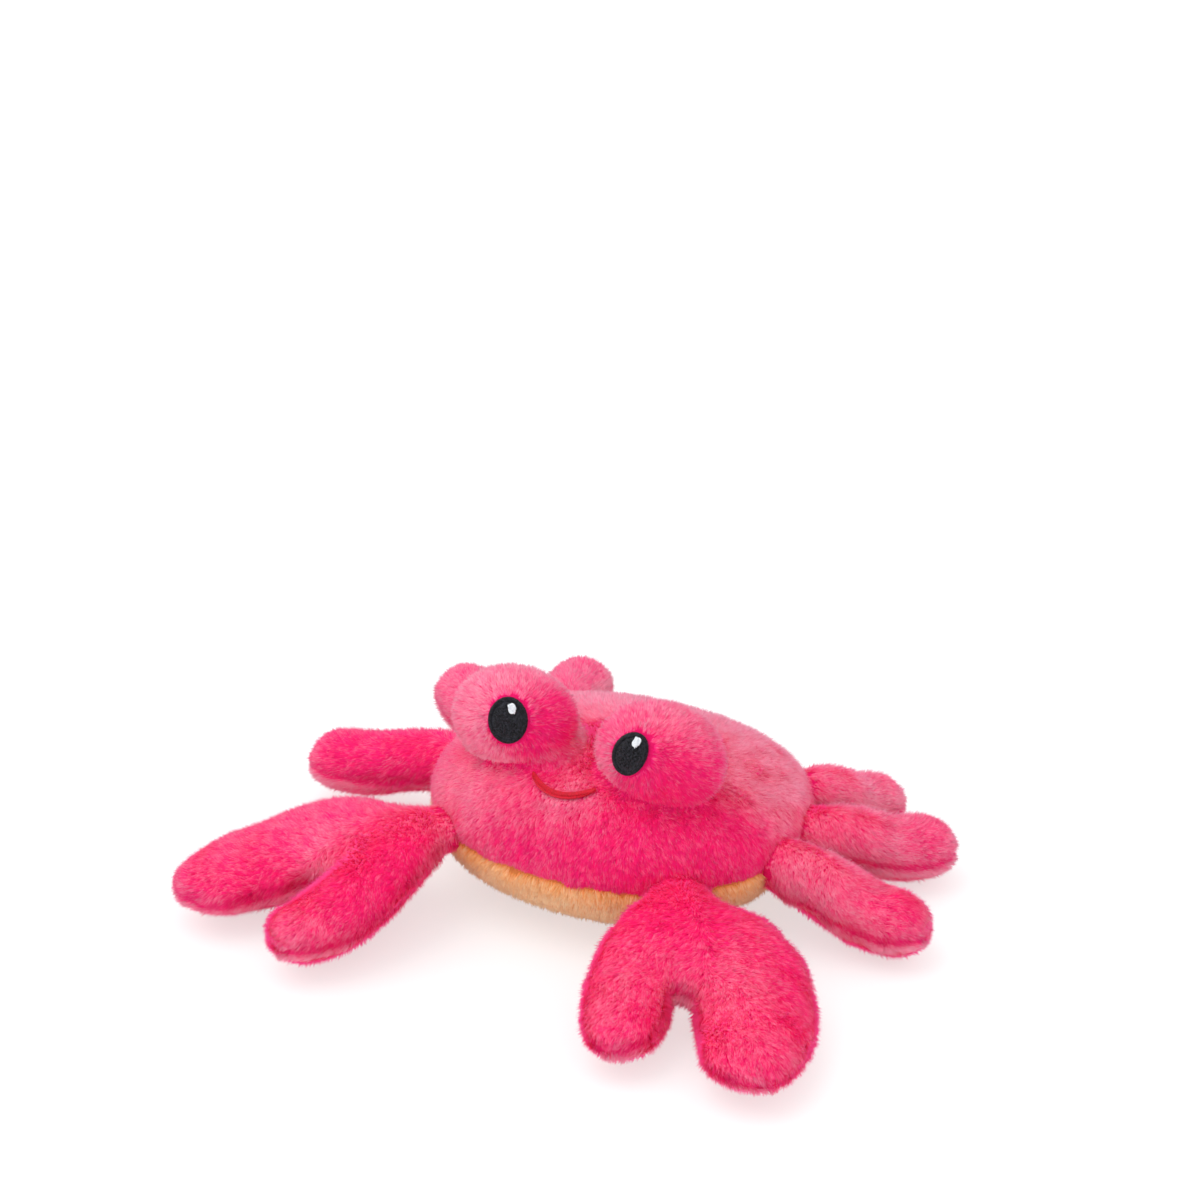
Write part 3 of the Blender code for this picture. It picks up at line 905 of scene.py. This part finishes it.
coat(
    {
        "mound_pile": (lambda p: nearest(BUMPS, p)[2] < 2.6 * MM, *PINK),
        "dome_pile_left": (lambda p: p[:, 0] > 0, *PINK),
        "dome_pile_right": (everywhere, *PINK),
    },
    covers["dome"], DENSITY, dome_nap, dome_tone, room_for("dome"), 40,
)
coat(
    {"belly_pile": (everywhere, orange_pile, "orange_plush")},
    covers["belly"], DENSITY * 0.8, belly_nap, belly_tone, room_for("belly"), 60,
)
for seed, node in enumerate(CLAWS + LEGS):
    tone = limb_tone(node, CLAW_TONE if node in CLAWS else LEG_TONE)
    coat(
        {node + "_pile": (everywhere, *PINK)},
        covers[node], DENSITY, limb_nap(node), tone, room_for(node), 80 + seed * 7,
        lean=71, rise=18,
    )
print("strand faces:", {n: len(c.data.polygons) for n, c in coats.items()})
print("all strand faces:", sum(len(c.data.polygons) for c in coats.values()))

# %% [markdown]
# ## The embroidery
# Each eye is a black oval of short stitches laid in rows, with a border of stitches set
# across its edge, and a white spot sewn on top. The smile is one line of satin stitch. The
# solid of each stays as the pad under the thread. A stitch is a small rounded spindle.


# %% Sew stitches
def sew(name, stitches, material):
    bm = bmesh.new()
    for middle, along, out, length, width, height in stitches:
        side = out.cross(along).normalized()
        shape = Matrix((along.normalized() * length, side * width, out * height))
        place = Matrix.Translation(middle) @ shape.transposed().to_4x4()
        place = place @ Matrix.Rotation(math.pi / 2, 4, "Y")
        bmesh.ops.create_uvsphere(bm, u_segments=6, v_segments=5, radius=0.5, matrix=place)
    bmesh.ops.recalc_face_normals(bm, faces=bm.faces)
    piece = new_piece(name, bm, material)
    print(name, "has", len(stitches), "stitches")
    return piece


def repaint(node, material):
    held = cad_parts[node]
    for place in held.material_slots:
        place.material = material


# %% The eyes
EYE_WIDTHS = {"left": 11.4 * MM, "right": 13.0 * MM}
EYE_HEIGHT = 14.7 * MM
SPLAYS = {1.0: 23.0, -1.0: -4.0}
BORDER = 1.6 * MM
BORDER_STITCHES = 88
FILL_INSIDE = BORDER * 1.32
THREAD_WIDTH = 0.5 * MM


def eye_axes(side):
    """The directions out of the eye, across it and up it. It is turned in, up and outward."""
    turn, look, splay = (math.radians(v) for v in (18.0 * side, 27.0, SPLAYS[side]))
    level = math.cos(look)
    out = Vector((-math.sin(turn) * level, -math.cos(turn) * level, math.sin(look)))
    across = Vector((math.cos(turn), -math.sin(turn), 0.0))
    up = across.cross(-out)
    return (
        out,
        across * math.cos(splay) - up * math.sin(splay),
        up * math.cos(splay) + across * math.sin(splay),
    )


def pad_surface(node, side):
    """A function from a place on the eye's flat drawing to the pad's outer face."""
    out, across, up = eye_axes(side)
    p = points_of(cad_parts[node].data)
    flat = np.stack([p @ np.array(across), p @ np.array(up)], 1)
    middle = (flat.min(0) + flat.max(0)) / 2
    tree = surface([node])
    before = float((p @ np.array(out)).max()) + 20 * MM
    start = across * middle[0] + up * middle[1] + out * before

    def on_pad(a, b):
        point, normal, _, _ = tree.ray_cast(start + across * a + up * b, -out)
        return (point, normal) if point else (None, None)

    return on_pad, across, up


GLINT = [  # each stitch of the white spot: how far across and up it is, and its length in mm
    (-1.05, 0.5, 1.6), (-0.7, 0.3, 2.3), (-0.3, 0.1, 3.2), (0.1, -0.1, 3.6),
    (0.5, -0.5, 2.9), (0.85, -0.3, 2.0), (1.1, 0.2, 1.2),
]
rng = np.random.default_rng(7)
for label, side in (("left", 1.0), ("right", -1.0)):
    node = "eye_" + label
    on_pad, across, up = pad_surface(node, side)
    stitches = []
    slant = math.radians(24 * side)
    row_way = across * math.cos(slant) + up * math.sin(slant)
    pile_way = up * math.cos(slant) - across * math.sin(slant)
    eye_width = EYE_WIDTHS[label]
    half_w, half_h = eye_width / 2 - FILL_INSIDE, EYE_HEIGHT / 2 - FILL_INSIDE
    row = 0
    level = -half_h * 1.1
    while level < half_h * 1.1:
        place = -half_w * 1.2 + (row % 3) * 0.8 * MM + rng.uniform(-0.2, 0.2) * MM
        while place < half_w * 1.2:
            long = rng.uniform(1.3, 2.0) * MM
            centre = row_way * (place + long / 2) + pile_way * level
            a, b = centre.dot(across), centre.dot(up)
            if (a / half_w) ** 2 + (b / half_h) ** 2 < 1.0:
                point, normal = on_pad(a, b)
                if point:
                    stitches.append((point, row_way, normal, long, THREAD_WIDTH * 1.1, 0.7 * MM))
            place += long * 0.93
        level += THREAD_WIDTH * 0.86
        row += 1
    for index in range(BORDER_STITCHES):
        angle = 2 * math.pi * index / BORDER_STITCHES
        a = math.cos(angle) * (eye_width - BORDER) / 2
        b = math.sin(angle) * (EYE_HEIGHT - BORDER) / 2
        point, normal = on_pad(a, b)
        if point:
            way = across * math.cos(angle + 0.25) + up * math.sin(angle + 0.25)
            stitches.append((point, way, normal, BORDER * 1.05, THREAD_WIDTH * 1.05, 1.3 * MM))
    sew(node + "_stitches", stitches, black_thread)
    repaint(node, black_thread)
    glint = "eye_glint_" + label
    on_spot, across, up = pad_surface(glint, side)
    stitches = []
    for a, b, long in GLINT:
        point, normal = on_spot(a * MM, b * MM)
        if point:
            stitches.append((point, up - across * 0.35, normal, long * MM, 0.55 * MM, 0.45 * MM))
    sew(glint + "_stitches", stitches, white_thread)
    repaint(glint, white_thread)

# %% The smile
SMILE_STITCHES = 74
smile_points = points_of(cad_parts["smile"].data)
stitches = []
smile_ends = smile_points[:, 0].min(), smile_points[:, 0].max()
for x in np.linspace(smile_ends[0] + 0.5 * MM, smile_ends[1] - 0.5 * MM, SMILE_STITCHES):
    here = smile_points[np.abs(smile_points[:, 0] - x) < 1.0 * MM]
    z = (here[:, 2].min() + here[:, 2].max()) / 2
    point, normal, _, _ = SMILE.ray_cast(Vector((x, -0.2, z)), Vector((0, 1, 0)))
    if point:
        thin = 0.5 + 0.5 * min(1.0, min(x - smile_ends[0], smile_ends[1] - x) / (4 * MM))
        long = 1.35 * MM * thin
        stitches.append((point, Vector((0.22, 0, 1)), normal, long, 0.42 * MM, 0.4 * MM))
sew("smile_stitches", stitches, red_thread)
repaint("smile", red_thread)

# %% [markdown]
# ## The stage
# A white floor and soft light from all round, with one broad soft lamp above and to one
# side. The camera stands where the photographer's did.

# %% Floor
stage_material = bpy.data.materials.new("white_floor")
stage_material.use_nodes = True
tree = stage_material.node_tree
wire = Wire(tree)


def looked_at(wire):
    """1 where a ray comes from the camera, a reflection or through something clear, else 0."""
    rays = wire.node("ShaderNodeLightPath").socket.node.outputs
    kinds = ("Is Camera Ray", "Is Glossy Ray", "Is Transmission Ray")
    first, second, third = (Wire(wire.tree, rays[kind]) for kind in kinds)
    return wire.maths("MINIMUM", first + second + third, 1.0)


paint = wire.node("ShaderNodeBsdfDiffuse", {"Color": (0.86, 0.86, 0.86, 1.0)})
glow = wire.node("ShaderNodeEmission", {"Color": (1.0, 1.0, 1.0, 1.0), "Strength": 1.2})
both = wire.node("ShaderNodeMixShader", {0: looked_at(wire) * 0.5, 1: paint, 2: glow})
tree.links.new(both.socket, tree.nodes["Material Output"].inputs["Surface"])
tree.nodes.remove(tree.nodes["Principled BSDF"])
bm = bmesh.new()
bmesh.ops.create_grid(bm, x_segments=1, y_segments=1, size=4.0)
floor_mesh = bpy.data.meshes.new("floor")
bm.to_mesh(floor_mesh)
bm.free()
floor_mesh.materials.append(stage_material)
floor = bpy.data.objects.new("floor", floor_mesh)
bpy.context.scene.collection.objects.link(floor)

# %% World and lamp
world = bpy.data.worlds.new("soft_white")
world.use_nodes = True
bpy.context.scene.world = world
tree = world.node_tree
wire = Wire(tree)
backdrop = tree.nodes["Background"]
backdrop.inputs["Color"].default_value = (1.0, 1.0, 1.0, 1.0)
# it lights at 1.05, and what is seen of it is plain white
tree.links.new((1.05 - looked_at(wire) * 0.05).socket, backdrop.inputs["Strength"])

lamp_data = bpy.data.lights.new("key", "SUN")
lamp_data.energy = 0.8
lamp_data.angle = math.radians(50)
lamp = bpy.data.objects.new("key", lamp_data)
lamp.rotation_euler = Vector((0.45, 0.25, -1.0)).to_track_quat("-Z", "Y").to_euler()
bpy.context.scene.collection.objects.link(lamp)

# %% Camera
TURN = math.radians(27.1)
HEIGHT = math.radians(30.3)
AWAY = 0.900
PICTURE = 1200.0
BODY_AT = (623.0, 796.0)  # where the body's middle is seen in the picture
FOCUS = 3000.0 * AWAY
body_centre = Vector((0.00299, 0.01275, 0.028))
right = Vector((math.cos(TURN), math.sin(TURN), 0.0))
near_way = math.cos(HEIGHT)
back_way = Vector((math.sin(TURN) * near_way, -math.cos(TURN) * near_way, math.sin(HEIGHT)))
up = back_way.cross(right)
off_middle = [PICTURE / 2 - place for place in BODY_AT]
seen_at = Vector((-off_middle[0] / FOCUS, off_middle[1] / FOCUS, -1.0)).normalized()
aim = seen_at.rotation_difference(Vector((0.0, 0.0, -1.0)))
axes = Matrix((right, up, back_way)).transposed() @ aim.to_matrix()
ahead = -axes.col[2]
level = ahead.cross(Vector((0.0, 0.0, 1.0))).normalized()
lens = bpy.data.cameras.new("camera")
lens.sensor_width = 36.0
lens.lens = FOCUS / PICTURE * lens.sensor_width
lens.clip_start = 0.01
camera = bpy.data.objects.new("camera", lens)
camera.matrix_world = (
    Matrix.Translation(body_centre + back_way * AWAY)
    @ Matrix((level, level.cross(ahead), -ahead)).transposed().to_4x4()
)
bpy.context.scene.collection.objects.link(camera)
bpy.context.scene.camera = camera
bpy.context.scene.view_settings.view_transform = "Standard"
